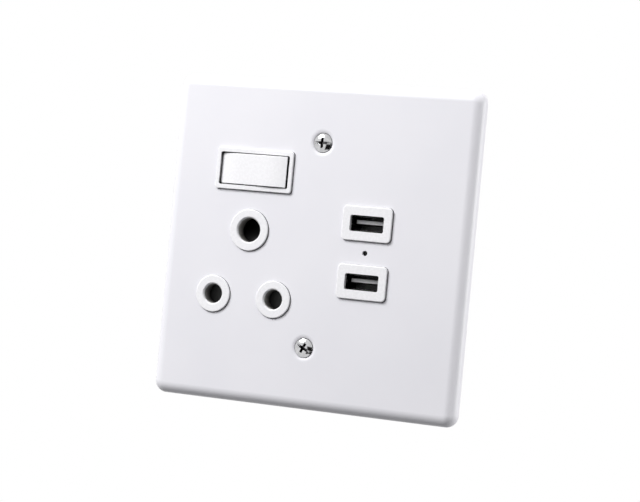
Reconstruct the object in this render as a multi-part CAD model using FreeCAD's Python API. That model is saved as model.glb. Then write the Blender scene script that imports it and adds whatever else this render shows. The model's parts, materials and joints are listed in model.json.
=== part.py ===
import FreeCAD, Part
import math
import os

from FreeCAD import Vector

# A square steel wall plate with a switched socket for round pins and two USB supply ports.
# Sizes are in millimetres. The wall face is the plane y = 0, the front looks towards -y, +z is
# up and +x is to the right as seen from the front. The origin is the plate's centre on the wall.

# How far a cutting tool reaches past what it cuts, and the least width left beside a rounded edge
past = 1.0
least_land = 0.1

# Cover plate, pressed from one sheet
plate_side = 125.0
plate_depth = 4.8
edge_roll = 4.2
plan_corner = 4.7
sheet = 1.0
window_gap = 0.15
window_shift = 0.1

# Cover screws with raised countersunk heads, and their pressed dimples
cover_screw_spacing = 78.1
cover_thread = 3.5
cover_head = 7.3
cover_screw_length = 10.0
cover_screw_tip = 0.6
head_dome = 0.9
head_rim = 0.25
cross_reach = 2.05
cross_half = 0.48
cross_depth = 1.5
dimple_edge = 5.2
dimple_drop = 0.3
dimple_land = 0.2
dimple_skin = 0.6
shank_gap = 0.2
thread_gap = 0.02

# Yoke, pressed from plated steel, with turned edges and slots for the screws of the wall box
yoke_height = 98.0
yoke_side = 6.0
yoke_sheet = 1.5
yoke_corner = 5.0
yoke_lip = 2.0
collar_height = 1.2
collar_wall = 0.9
box_screw_spacing = 84.0
box_slot_length = 8.0
box_slot_width = 4.6
box_head = 8.0
box_head_gap = 1.6

# Pins of the plug and the pattern that they make
socket_x = -27.0
pole_z = -22.0
pole_spacing = 25.4
earth_to_pole = 28.6
pole_pin = 7.05
earth_pin = 8.7

# Front moulding of the socket, with round bosses and the raised frame of the rocker
pole_hole_play = 0.45
earth_hole_play = 0.6
boss_rim = 3.35
boss_proud = 0.8
lip_depth = 1.2
lip_round = 0.45
lip_relief = 0.05
front_round = 0.35
rocker_z = 26.75
frame_proud = 1.0
frame_end_wall = 1.55
frame_side_wall = 1.75
frame_corner = 1.2
well_depth = 2.5
well_corner = 0.6

# Outline of the socket body, with a notch that leaves a box screw free
body_side = 6.9
body_over = 1.65
body_under = 1.5
body_corner = 2.0
notch_half = 7.0
window_play = 0.3
flange_overlap = 2.0
shell_overlap = 1.8
guide_wall = 1.5
fit_gap = 0.1

# Rear housings and their screws
pole_rear = 18.0
earth_rear = 27.0
step_below_boss = 4.0
housing_round = 0.8
housing_skin = 1.0
barrier_sheet = 1.6
barrier_height = 6.0
barrier_half = 11.0
pocket_gap = 0.45
screw_core = 1.05
screw_pilot = 1.1
screw_pillar = 2.3
screw_hole = 1.5
screw_head = 2.5
screw_head_height = 1.8
screw_head_edge = 0.6
screw_point = 0.4
screw_point_length = 1.2
screw_cross_reach = 1.4
screw_cross_half = 0.3
screw_cross_depth = 1.0
screw_recess = 2.8
screw_bite = 5.0
pillar_end = 6.0
pillar_inset = 3.9
upper_pillar_rise = 10.4
lower_pillar_rise = 9.1
socket_screw_seat = 11.0

# Rocker, drawn level and then turned so that its left end is pressed in
rocker_length = 28.1
rocker_height = 11.8
rocker_end_gap = 0.4
rocker_side_gap = 0.35
rocker_proud = 0.48
rocker_flat = 11.6
rocker_end_slope = 12.0
rocker_round = 0.2
rocker_skin = 1.6
rocker_skirt = 4.6
rocker_taper = 0.5
pivot_depth = 5.4
rocker_swing = 3.5
trunnion_radius = 1.5
trunnion_gap = 0.05
trunnion_reach = 1.8
lug_half = 2.6
lug_below = 2.1
stem_radius = 3.2
stem_bore = 2.0
stem_end = 6.5
stem_cap = 0.4

# Sprung plunger in the stem, and the contact blade that it tips on a knife edge
plunger_gap = 0.1
plunger_top = 2.2
plunger_shoulder = 7.6
plunger_neck = 8.5
plunger_reach = 10.0
plunger_tip = 1.0
tip_gap = 0.1
rocker_spring_radius = 1.5
rocker_spring_wire = 0.5
rocker_spring_turns = 5
blade_half = 10.0
blade_width = 5.0
blade_front = 0.6
blade_back = 0.4
groove_angle = 60.0
knife_angle = 30.0
knife_half = 1.2
knife_depth = 4.5
knife_gap = 0.05
blade_room = 0.4
blade_end_room = 1.6
stem_room = 1.6
stem_end_room = 1.5
pip_radius = 1.3
pip_height = 0.5
pip_inset = 0.1
pip_gap = 0.25

# Contacts turned from brass rod, their rings, links and wire pillars
sleeve_gap = 0.05
sleeve_wall = 0.9
sleeve_slit = 0.8
sleeve_floor = 2.0
sleeve_flare = 0.5
sleeve_lead = 0.6
sleeve_nose = 0.1
slit_stop = 1.5
pole_sleeve_start = 4.2
pole_sleeve_end = 17.0
tail_step = 0.6
earth_sleeve_start = 7.2
earth_sleeve_end = 25.0
ring_sheet = 0.7
ring_width = 2.0
ring_set_back = 2.0
ring_opening = 1.2
neck_radius = 2.6
pillar_radius = 4.6
pillar_length = 10.0
pillar_edge = 0.5
wire_bore = 4.2
terminal_thread = 4.0
terminal_head = 3.2
terminal_head_gap = 1.2
terminal_head_height = 2.0
terminal_head_edge = 0.3
terminal_tip = 0.5
terminal_slot_half = 0.4
terminal_slot_depth = 1.0
post_radius = 3.4
post_flange = 1.6
strap_sheet = 0.8
strap_half = 3.4
strap_foot = 4.6
strap_tail = 6.0
link_depth = 4.0
link_tab = 2.0

# Shutter, pushed down by the earth pin and lifted again by its spring
shutter_sheet = 2.2
shutter_travel = 9.0
slide_gap = 0.3
bar_cover = 0.55
bar_reach = 0.85
bar_corner = 1.0
shutter_stem = 9.6
wedge_drop = 0.2
wedge_depth = 5.4
wedge_heel = 0.8
wedge_tail = 3.0
wedge_root = 1.5
slot_below_wedge = 2.2
slot_half = 2.0
peg_half = 1.6
peg_height = 2.0
shutter_spring_radius = 1.3
shutter_spring_wire = 0.4
shutter_spring_turns = 7
shutter_spring_short = 4.2
spring_play = 0.05

# USB supply module
usb_x = 21.2
usb_upper_z = 9.85
usb_pitch = 22.05
usb_shell_width = 13.16
usb_shell_height = 5.66
usb_shell_wall = 0.3
usb_shell_gap = 0.2
usb_shell_recess = 1.9
usb_shell_corner = 0.7
usb_rim_side = 3.17
usb_rim_above = 3.52
usb_frame_corner = 1.7
tongue_width = 11.1
tongue_height = 1.6
tongue_top_gap = 1.1
tongue_recess = 3.7
tongue_round = 0.3
core_gap = 0.05
core_base = 4.0
contact_width = 1.0
contact_sheet = 0.25
contact_set_back = 1.1
contact_pitches = (-3.5, -1.0, 1.0, 3.5)
spring_finger_width = 1.8
spring_finger_length = 4.6
spring_finger_gap = 0.4
spring_finger_start = 4.0
spring_finger_place = 3.0
leg_half = 1.2
leg_tail = 0.6
leg_gap = 0.15
usb_body_side = 1.65
usb_body_end = 2.4
usb_skirt = 1.3
usb_rear = 25.0
usb_back_wall = 1.4
usb_boss_set_back = 0.5
usb_room_wall = 0.7
usb_ledge_wall = 2.2
board_edge = 0.9
board_front = 9.3
board_sheet = 1.6
usb_screw_web = 2.1
usb_pillar_side = 3.6
usb_pillar_end = 3.4
usb_boss = 3.6
light_hole = 2.0
light_guide_gap = 0.05
light_guide_step = 1.0
light_guide_set_back = 1.6
light_collar = 1.2
lamp_radius = 1.5
lamp_height = 2.6
lamp_foot_reach = 0.4
lamp_foot_height = 0.8
vent_width = 1.2
vent_length = 12.0
vent_pitch = 2.8
vent_count = 5
block_width = 9.0
block_height = 8.0
block_proud = 0.6
block_room = 0.2
block_pitch = 4.6
block_offset = 1.5
block_wire_radius = 1.4
block_screw_radius = 1.6
block_screw_length = 4.5
block_screw_rise = 7.0
block_slot_depth = 0.7
block_slot_half = 0.3
block_wire_rise = 5.0
block_wire_past = 2.0
core_width = 13.2
core_height = 12.4
core_depth = 11.0
core_leg = 2.4
core_side_leg = 2.16
core_rise = 1.0
core_round = 0.3
winding_reach = 1.0
winding_round = 1.4
large_can = 4.0
large_can_length = 12.0
large_can_drop = 1.2
small_can = 2.2
small_can_length = 8.0
small_can_drop = 0.2
can_offset = 1.0
can_pitch = 6.0
can_edge = 0.4
can_groove_rise = 1.0
can_groove_depth = 0.3

# Places that follow from the sizes above
face_y = -plate_depth
under_y = face_y + sheet
flange_back = -yoke_sheet
boss_front = face_y - boss_proud
frame_front = face_y - frame_proud
lip_back = boss_front + lip_depth
cover_screw_z = cover_screw_spacing / 2
box_screw_x = box_screw_spacing / 2
yoke_width = box_screw_spacing + box_slot_length + 2 * yoke_side
earth_z = pole_z + math.sqrt(earth_to_pole**2 - (pole_spacing / 2) ** 2)
line_x = socket_x - pole_spacing / 2
neutral_x = socket_x + pole_spacing / 2
pole_hole = (pole_pin + pole_hole_play) / 2
earth_hole = (earth_pin + earth_hole_play) / 2
pin_holes = [(line_x, pole_z, pole_hole), (neutral_x, pole_z, pole_hole), (socket_x, earth_z, earth_hole)]
rocker_window_width = rocker_length + 2 * rocker_end_gap
rocker_window_height = rocker_height + 2 * rocker_side_gap
frame_width = rocker_window_width + 2 * frame_end_wall
frame_height = rocker_window_height + 2 * frame_side_wall
bar_half = pole_hole + bar_cover
body_left = line_x - body_side
body_right = neutral_x + body_side
body_top = rocker_z + frame_height / 2 + body_over
body_low = pole_z - bar_half - shutter_travel - body_under
notch_x = -box_screw_x + box_head / 2 + box_head_gap + flange_overlap
step_z = earth_z - earth_hole - boss_rim - step_below_boss
pivot_y = frame_front - rocker_proud + pivot_depth
blade_y = pivot_y + plunger_reach + plunger_tip + tip_gap + blade_front
blade_tilt = 2 * rocker_swing
knife_y = blade_y + knife_gap
post_y = knife_y + knife_depth
pip_reach = blade_half - pip_radius - pip_inset
strip_y = blade_y + blade_back + pip_reach * math.tan(math.radians(blade_tilt)) + 2 * pip_height + pip_gap
pole_bore = pole_pin / 2 + sleeve_gap
earth_bore = earth_pin / 2 + sleeve_gap
link_left = line_x + pole_bore + sleeve_wall
link_right = link_left + strap_sheet
strap_side = body_right + shell_overlap
pole_pillar_y = pole_rear + strap_sheet
earth_pillar_y = earth_rear + strap_sheet
shutter_front = slide_gap
shutter_back = shutter_front + shutter_sheet
wedge_low = earth_z - earth_hole - wedge_drop
wedge_high = earth_z + earth_hole
wedge_back = shutter_front + wedge_depth + wedge_heel
slot_top = wedge_low - slot_below_wedge
peg_top = slot_top - shutter_travel - shutter_spring_short
peg_back = shutter_back + wedge_heel + slide_gap
usb_lower_z = usb_upper_z - usb_pitch
usb_mid_z = (usb_upper_z + usb_lower_z) / 2
usb_ports = [usb_upper_z, usb_lower_z]
usb_window_width = usb_shell_width + 2 * usb_shell_gap
usb_window_height = usb_shell_height + 2 * usb_shell_gap
usb_frame_width = usb_window_width + 2 * usb_rim_side
usb_frame_height = usb_window_height + 2 * usb_rim_above
usb_body_width = usb_frame_width + 2 * usb_body_side
usb_body_height = usb_pitch + usb_frame_height + 2 * usb_body_end
usb_shell_front = frame_front + usb_shell_recess
board_back = board_front + board_sheet
usb_screw_seat = board_back + usb_screw_web
block_z = usb_mid_z - usb_body_height / 2 + usb_ledge_wall + block_height / 2 + block_room
block_x = usb_x - block_offset


def block(x0, x1, y0, y1, z0, z1):
    """A square-edged block between six planes."""
    return Part.makeBox(x1 - x0, y1 - y0, z1 - z0, Vector(x0, y0, z0))


def rod(x, z, radius, y0, y1):
    """A round bar square to the wall."""
    return Part.makeCylinder(radius, y1 - y0, Vector(x, y0, z), Vector(0, 1, 0))


def upright(x, y, radius, z0, z1):
    """A round bar that stands upright."""
    return Part.makeCylinder(radius, z1 - z0, Vector(x, y, z0), Vector(0, 0, 1))


def turned(x, z, outline):
    """A solid turned about a line square to the wall, from (radius, y) points."""
    points = [Vector(x + radius, y, z) for radius, y in outline]
    face = Part.Face(Part.makePolygon(points + points[:1]))
    return face.revolve(Vector(x, 0, z), Vector(0, 1, 0), 360)


def domed(z, crown, outline):
    """A solid turned about the line of a cover screw: a crown of three points, then straight edges."""
    arc = Part.Arc(*[Vector(radius, y, z) for radius, y in crown]).toShape()
    rest = Part.makePolygon([Vector(radius, y, z) for radius, y in outline])
    face = Part.Face(Part.Wire([arc] + rest.Edges))
    return face.revolve(Vector(0, 0, z), Vector(0, 1, 0), 360)


def extruded(points, push):
    """A solid with flat ends, from its outline and the vector that it is pushed along."""
    return Part.Face(Part.makePolygon(points + points[:1])).extrude(push)


def round_upright_edges(solid, radius):
    """The solid with every straight edge square to the wall rounded."""
    edges = [e for e in solid.Edges if e.BoundBox.XLength < 1e-6 and e.BoundBox.ZLength < 1e-6]
    return solid.makeFillet(radius, edges)


def round_rim(solid, y, radius):
    """The solid with every edge that lies in the plane y rounded."""
    edges = [e for e in solid.Edges if e.BoundBox.YMax - y < 1e-4 and y - e.BoundBox.YMin < 1e-4]
    return solid.makeFillet(radius, edges)


def slab(x, z, width, height, corner, y0, y1):
    """A rounded rectangle as seen from the front, from y0 to y1."""
    solid = block(x - width / 2, x + width / 2, y0, y1, z - height / 2, z + height / 2)
    return round_upright_edges(solid, corner)


def slot(x, z, length, width, y0, y1):
    """A round-ended slot that runs sideways."""
    half = (length - width) / 2
    bar = block(x - half, x + half, y0, y1, z - width / 2, z + width / 2)
    ends = [rod(x - half, z, width / 2, y0, y1), rod(x + half, z, width / 2, y0, y1)]
    return bar.fuse(ends).removeSplitter()


def body_slab(grow, y0, y1):
    """The outline of the socket body, grown all round, as a plate with rounded corners."""
    left, right = body_left - grow, body_right + grow
    low, top = body_low - grow, body_top + grow
    inner, half = notch_x - grow, notch_half - grow
    outline = [
        (left, low), (right, low), (right, top), (left, top),
        (left, half), (inner, half), (inner, -half), (left, -half),
    ]
    solid = extruded([Vector(x, y0, z) for x, z in outline], Vector(0, y1 - y0, 0))
    return round_upright_edges(solid, body_corner)


def usb_slab(grow, y0, y1):
    """The outline of the USB body, grown all round, as a plate with rounded corners."""
    width, height = usb_body_width + 2 * grow, usb_body_height + 2 * grow
    return slab(usb_x, usb_mid_z, width, height, body_corner, y0, y1)


def frame_slab(grow, corner, y0, y1):
    """The outline of the rocker's frame, grown all round."""
    return slab(socket_x, rocker_z, frame_width + 2 * grow, frame_height + 2 * grow, corner, y0, y1)


def coil(radius, wire, length, turns):
    """A wire spring that stands on the origin: a ruled loft through the sections round its helix."""
    steps, sides = 12, 6
    sections = []
    for i in range(turns * steps + 1):
        turn = 2 * math.pi * i / steps
        height = wire / 2 + (length - wire) * i / (turns * steps)
        points = []
        for k in range(sides + 1):
            angle = 2 * math.pi * (k % sides) / sides
            reach = radius + wire / 2 * math.cos(angle)
            rise = height + wire / 2 * math.sin(angle)
            points.append(Vector(reach * math.cos(turn), reach * math.sin(turn), rise))
        sections.append(Part.makePolygon(points))
    return Part.makeLoft(sections, True, True)


def cushion(side, depth, corner, roll):
    """The outer or inner form of the cover: a square plate with rolled front edges."""
    roll = min(roll, corner - least_land, depth - least_land)
    return round_rim(slab(0, 0, side, side, corner, -depth, 0), -depth, roll)


def screw_dimple(z):
    """The pressed seat round a cover screw: a soft shoulder, then a cone."""
    seat = cover_head / 2 + head_rim
    hole = cover_thread / 2 + shank_gap
    seat_y = face_y + dimple_drop
    land_y = seat_y + seat - hole
    crown = [
        (dimple_edge, face_y), ((dimple_edge + seat) / 2, face_y + dimple_drop / 4), (seat, seat_y),
    ]
    foot_y = land_y + dimple_land
    return domed(z, crown, [
        (seat, seat_y), (hole, land_y), (hole, foot_y), (hole + dimple_skin, foot_y),
        (seat + dimple_skin, under_y), (dimple_edge, under_y), (dimple_edge, face_y),
    ])


def cover_plate():
    """The powder coated steel cover, with rolled edges, windows and dimples."""
    inner_depth = plate_depth - sheet
    inside = cushion(plate_side - 2 * sheet, inner_depth, plan_corner - sheet, edge_roll - sheet)
    cover = cushion(plate_side, plate_depth, plan_corner, edge_roll).cut(inside)
    front, back = face_y - past, under_y + past
    windows = [rod(x, z, hole + boss_rim + window_gap, front, back) for x, z, hole in pin_holes]
    windows.append(frame_slab(window_gap, frame_corner + window_gap, front, back))
    width, height = usb_frame_width + 2 * window_gap, usb_frame_height + 2 * window_gap
    windows += [slab(usb_x, z, width, height, usb_frame_corner + window_gap, front, back) for z in usb_ports]
    for window in windows:
        window.translate(Vector(window_shift, 0, -window_shift))
    windows.append(rod(usb_x, usb_mid_z, light_hole / 2, front, back))
    screws = (cover_screw_z, -cover_screw_z)
    seats = [rod(0, z, dimple_edge, front, back) for z in screws]
    return cover.cut(windows + seats).fuse([screw_dimple(z) for z in screws]).removeSplitter()


def cover_screw(z):
    """A raised countersunk screw with a cross recess, seated in its dimple."""
    head, shank = cover_head / 2, cover_thread / 2
    rim_y = face_y + dimple_drop - head_rim
    cone_y = rim_y + head_rim + head - shank
    tip_y = rim_y + cover_screw_length
    crown_y = rim_y - head_dome
    screw = domed(z, [(0, crown_y), (head / 2, crown_y + head_dome / 4), (head, rim_y)], [
        (head, rim_y), (head, rim_y + head_rim), (shank, cone_y), (shank, tip_y - cover_screw_tip),
        (shank - cover_screw_tip, tip_y), (0, tip_y), (0, crown_y),
    ])
    front, floor = crown_y - past, crown_y + cross_depth
    across = block(-cross_reach, cross_reach, front, floor, z - cross_half, z + cross_half)
    along = block(-cross_half, cross_half, front, floor, z - cross_reach, z + cross_reach)
    return screw.cut([across, along])


def cover_screws():
    """The two screws that hold the cover to the yoke."""
    return [cover_screw(cover_screw_z), cover_screw(-cover_screw_z)]


def yoke():
    """The steel frame behind the cover: turned edges, module windows, slots and tapped collars."""
    plate = slab(0, 0, yoke_width, yoke_height, yoke_corner, -yoke_sheet, 0)
    reach, edge = yoke_width / 2 - yoke_corner, yoke_height / 2
    front = -yoke_sheet - yoke_lip
    lips = [
        block(-reach, reach, front, 0, edge - yoke_sheet, edge),
        block(-reach, reach, front, 0, -edge, yoke_sheet - edge),
    ]
    plate = plate.fuse(lips)
    front, back = -yoke_sheet - past, collar_height + past
    cuts = [body_slab(window_play, front, back), usb_slab(window_play, front, back)]
    for x in (-box_screw_x, box_screw_x):
        cuts.append(slot(x, 0, box_slot_length, box_slot_width, front, back))
    plate = plate.cut(cuts)
    tap = cover_thread / 2 + thread_gap
    screws = (cover_screw_z, -cover_screw_z)
    collars = [rod(0, z, tap + collar_wall, -yoke_sheet, collar_height) for z in screws]
    return plate.fuse(collars).cut([rod(0, z, tap, front, back) for z in screws]).removeSplitter()


def pillar_places():
    """Where the four housing screws of the socket go in."""
    high, low = earth_z + upper_pillar_rise, pole_z + lower_pillar_rise
    return [(x, z) for x in (body_left + pillar_inset, body_right - pillar_inset) for z in (high, low)]


def socket_front():
    """The white front moulding: three round bosses and the raised frame of the rocker."""
    solid = body_slab(flange_overlap, under_y, flange_back)
    bosses = [rod(x, z, hole + boss_rim, boss_front, under_y) for x, z, hole in pin_holes]
    frame = frame_slab(0, frame_corner, frame_front, well_depth)
    pillars = [rod(x, z, screw_pillar, flange_back, pillar_end) for x, z in pillar_places()]
    raised = [round_rim(boss, boss_front, front_round) for boss in bosses]
    solid = solid.fuse(raised + [round_rim(frame, frame_front, front_round)] + pillars)
    cuts = [rod(x, z, screw_pilot, flange_back, pillar_end + past) for x, z in pillar_places()]
    for x, z, hole in pin_holes:
        lip = hole + lip_relief
        cuts.append(turned(x, z, [
            (0, boss_front - past), (lip + lip_round, boss_front - past), (lip + lip_round, boss_front),
            (lip, boss_front + lip_round), (lip, lip_back), (0, lip_back),
        ]))
        cuts.append(rod(x, z, hole + guide_wall + fit_gap, lip_back, flange_back + past))
    cuts.append(slab(
        socket_x, rocker_z, rocker_window_width, rocker_window_height, well_corner,
        frame_front - past, well_depth + past,
    ))
    half = frame_height / 2
    cuts.append(upright(socket_x, pivot_y, trunnion_radius + trunnion_gap, rocker_z - half, rocker_z + half))
    return solid.cut(cuts).removeSplitter()


def pin_guide():
    """The dark guide plate behind the bosses, with a tube round each pin."""
    plate = body_slab(0, flange_back, 0)
    plate = plate.fuse([rod(x, z, hole + guide_wall, lip_back, 0) for x, z, hole in pin_holes])
    cuts = [rod(x, z, hole, lip_back - past, past) for x, z, hole in pin_holes]
    cuts.append(frame_slab(fit_gap, frame_corner + fit_gap, flange_back - past, past))
    cuts += [rod(x, z, screw_pillar + fit_gap, flange_back - past, past) for x, z in pillar_places()]
    return plate.cut(cuts).removeSplitter()


def shutter():
    """The sliding shutter: a bar across both pole holes, a stem and a wedge at the earth hole."""
    reach = pole_spacing / 2 + pole_hole + bar_reach
    half = shutter_stem / 2
    bar = block(
        socket_x - reach, socket_x + reach, shutter_front, shutter_back, pole_z - bar_half, pole_z + bar_half,
    )
    bar = round_upright_edges(bar, bar_corner)
    stem = block(socket_x - half, socket_x + half, shutter_front, shutter_back, pole_z, wedge_low)
    side = [
        (shutter_front, wedge_low - wedge_root), (shutter_front, wedge_low),
        (shutter_front + wedge_depth, wedge_high), (wedge_back, wedge_high),
        (wedge_back, wedge_high - wedge_tail), (shutter_back, wedge_low - wedge_root),
    ]
    wedge = extruded([Vector(socket_x - half, y, z) for y, z in side], Vector(shutter_stem, 0, 0))
    slot_low = peg_top - peg_height - slide_gap
    window = block(
        socket_x - slot_half, socket_x + slot_half, shutter_front - past, wedge_back, slot_low, slot_top,
    )
    return bar.fuse([stem, wedge]).cut(window).removeSplitter()


def shutter_spring():
    """The spring that lifts the shutter back over the pole holes."""
    length = slot_top - peg_top - 2 * spring_play
    spring = coil(shutter_spring_radius, shutter_spring_wire, length, shutter_spring_turns)
    middle = shutter_front + shutter_spring_radius + shutter_spring_wire / 2
    spring.translate(Vector(socket_x, middle, peg_top + spring_play))
    return spring


def sleeve(x, z, bore, start, end, tail):
    """A slit contact sleeve turned in one with its tail, which is a list of (radius, y) points."""
    outer = bore + sleeve_wall
    floor = end - sleeve_floor
    lead = start + sleeve_lead
    mouth = [(bore + sleeve_flare, start), (outer - sleeve_nose, start), (outer, lead), (outer, end)]
    solid = turned(x, z, mouth + tail + [(0, floor), (bore, floor), (bore, lead)])
    reach, half = outer + past, sleeve_slit / 2
    across = block(x - reach, x + reach, start - past, floor - slit_stop, z - half, z + half)
    along = block(x - half, x + half, start - past, floor - slit_stop, z - reach, z + reach)
    return solid.cut([across, along])


def pillar_outline(start):
    """The outline of a neck and a wire pillar, whose pillar begins at the given y."""
    end = start + pillar_length
    return [
        (neck_radius, start), (pillar_radius, start), (pillar_radius, end - pillar_edge),
        (pillar_radius - pillar_edge, end), (0, end),
    ]


def drill_pillar(solid, x, z, start):
    """The solid with an upright wire bore through its pillar, and the tapped hole of the clamp screw."""
    middle = start + pillar_length / 2
    reach = pillar_radius + past
    wire = upright(x, middle, wire_bore / 2, z - reach, z + reach)
    tap = rod(x, z, terminal_thread / 2, middle, start + pillar_length + past)
    return solid.cut([wire, tap]).removeSplitter()


def neutral_contact():
    """The neutral sleeve, its neck through the housing and its wire pillar."""
    tail = [(neck_radius, pole_sleeve_end)] + pillar_outline(pole_pillar_y)
    solid = sleeve(neutral_x, pole_z, pole_bore, pole_sleeve_start, pole_sleeve_end, tail)
    return drill_pillar(solid, neutral_x, pole_z, pole_pillar_y)


def earth_contact():
    """The longer earth sleeve, its neck through the housing and its wire pillar."""
    tail = [(neck_radius, earth_sleeve_end)] + pillar_outline(earth_pillar_y)
    solid = sleeve(socket_x, earth_z, earth_bore, earth_sleeve_start, earth_sleeve_end, tail)
    return drill_pillar(solid, socket_x, earth_z, earth_pillar_y)


def line_contact():
    """The switched sleeve, closed behind, which the line link feeds at its side."""
    end = pole_sleeve_end - tail_step
    return sleeve(line_x, pole_z, pole_bore, pole_sleeve_start, end, [(0, end)])


def sleeve_ring(x, z, bore, start):
    """A steel ring that squeezes the slit end of a sleeve on to the pin, open at the top."""
    inner = bore + sleeve_wall
    front = start + ring_set_back
    ring = rod(x, z, inner + ring_sheet, front, front + ring_width)
    mouth = block(
        x - ring_opening / 2, x + ring_opening / 2, front - past, front + ring_width + past, z,
        z + inner + ring_sheet + past,
    )
    return ring.cut([rod(x, z, inner, front - past, front + ring_width + past), mouth])


def sleeve_rings():
    """The three steel rings, one on each sleeve."""
    return [
        sleeve_ring(line_x, pole_z, pole_bore, pole_sleeve_start),
        sleeve_ring(neutral_x, pole_z, pole_bore, pole_sleeve_start),
        sleeve_ring(socket_x, earth_z, earth_bore, earth_sleeve_start),
    ]


def line_link():
    """The strip that carries the switched line from the fixed contact to the line sleeve."""
    pip_x = socket_x - pip_reach
    top, low = rocker_z + blade_width / 2, rocker_z - blade_width / 2
    bar = block(link_left, link_right, strip_y, strip_y + link_depth, pole_z - link_tab, top)
    tab = block(pip_x - link_tab, link_right, strip_y, strip_y + strap_sheet, low, top)
    return bar.fuse(tab).removeSplitter()


def fixed_contact():
    """The silver rivet that the blade closes on."""
    return rod(socket_x - pip_reach, rocker_z, pip_radius, strip_y - pip_height, strip_y)


def line_terminal():
    """The supply post: a knife edge under the blade, a flange, a neck and a wire pillar behind."""
    slope = knife_half / math.tan(math.radians(knife_angle))
    outline = [
        (0, knife_y), (knife_half, knife_y + slope), (knife_half, post_y), (-knife_half, post_y),
        (-knife_half, knife_y + slope),
    ]
    low = rocker_z - blade_width / 2
    knife = extruded([Vector(socket_x + x, y, low) for x, y in outline], Vector(0, 0, blade_width))
    post = turned(socket_x, rocker_z, [
        (0, post_y), (post_radius, post_y), (post_radius, post_y + post_flange),
        (neck_radius, post_y + post_flange),
    ] + pillar_outline(earth_pillar_y))
    return drill_pillar(knife.fuse(post), socket_x, rocker_z, earth_pillar_y)


def terminal_screw(x, z, start):
    """A slotted clamp screw, backed out so that its tip is clear of the wire bore."""
    radius = terminal_thread / 2 - thread_gap
    end = start + pillar_length
    tip = end - pillar_length / 2 + wire_bore / 2 + fit_gap
    head = end + terminal_head_gap
    top = head + terminal_head_height
    screw = turned(x, z, [
        (0, tip), (radius - terminal_tip, tip), (radius, tip + terminal_tip), (radius, head),
        (terminal_head, head), (terminal_head, top - terminal_head_edge),
        (terminal_head - terminal_head_edge, top), (0, top),
    ])
    reach, half = terminal_head + past, terminal_slot_half
    return screw.cut(block(x - reach, x + reach, top - terminal_slot_depth, top + past, z - half, z + half))


def terminal_screws():
    """The three clamp screws of the mains terminals."""
    return [
        terminal_screw(neutral_x, pole_z, pole_pillar_y),
        terminal_screw(socket_x, earth_z, earth_pillar_y),
        terminal_screw(socket_x, rocker_z, earth_pillar_y),
    ]


def earth_strap():
    """The strip that joins the earth pillar to the yoke, bent round the housing's side."""
    low, high = earth_z - strap_half, earth_z + strap_half
    outside = strap_side + strap_sheet
    back = block(socket_x - strap_tail, outside, earth_rear, earth_pillar_y, low, high)
    run = block(strap_side, outside, 0, earth_pillar_y, low, high)
    foot = block(strap_side, strap_side + strap_foot, 0, strap_sheet, low, high)
    hole = rod(socket_x, earth_z, neck_radius + fit_gap, earth_rear - past, earth_pillar_y + past)
    return back.fuse([run, foot]).cut(hole).removeSplitter()


def pillar_washer(x, z, rear):
    """A fibre washer under a pillar, as thick as the strap."""
    washer = rod(x, z, pillar_radius, rear, rear + strap_sheet)
    return washer.cut(rod(x, z, neck_radius + fit_gap, rear - past, rear + strap_sheet + past))


def pillar_washers():
    """The washers under the neutral and line pillars."""
    return [pillar_washer(neutral_x, pole_z, pole_rear), pillar_washer(socket_x, rocker_z, earth_rear)]


def housing_block():
    """The stepped block of the socket housing, with a barrier between the upper terminals."""
    margin = shell_overlap + past
    left, right, low = body_left - margin, body_right + margin, body_low - margin
    solid = body_slab(shell_overlap, 0, earth_rear)
    solid = solid.cut(block(left, right, pole_rear, earth_rear + past, low, step_z))
    solid = round_rim(solid, earth_rear, housing_round)
    middle = (earth_z + rocker_z) / 2
    half = barrier_sheet / 2
    return solid.fuse(block(
        socket_x - barrier_half, socket_x + barrier_half, earth_rear - past, earth_rear + barrier_height,
        middle - half, middle + half,
    ))


def shutter_pockets():
    """The room in the housing in which the shutter slides, with a groove for its spring."""
    reach = pole_spacing / 2 + pole_hole + bar_reach + slide_gap
    half = shutter_stem / 2 + slide_gap
    low = pole_z - bar_half - shutter_travel - slide_gap
    top = wedge_high + slide_gap
    back = shutter_back + slide_gap
    wedge_foot = wedge_low - wedge_root - shutter_travel - slide_gap
    return [
        block(socket_x - reach, socket_x + reach, -past, back, low, pole_z + bar_half + slide_gap),
        block(socket_x - half, socket_x + half, -past, back, low, top),
        block(socket_x - half, socket_x + half, -past, wedge_back + slide_gap, wedge_foot, top),
        block(
            socket_x - peg_half - fit_gap, socket_x + peg_half + fit_gap, -past, peg_back,
            peg_top - fit_gap, slot_top + fit_gap,
        ),
    ]


def contact_pockets():
    """The round pockets of the sleeves, and the holes that their necks and the post pass through."""
    ring = sleeve_wall + ring_sheet + pocket_gap
    neck = neck_radius + fit_gap
    return [
        rod(line_x, pole_z, pole_bore + ring, housing_skin, pole_sleeve_end - tail_step),
        rod(neutral_x, pole_z, pole_bore + ring, housing_skin, pole_sleeve_end),
        rod(socket_x, earth_z, earth_bore + ring, housing_skin, earth_sleeve_end),
        rod(neutral_x, pole_z, neck, housing_skin, pole_rear + past),
        rod(socket_x, earth_z, neck, housing_skin, earth_rear + past),
        rod(socket_x, rocker_z, neck, housing_skin, earth_rear + past),
    ]


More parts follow.
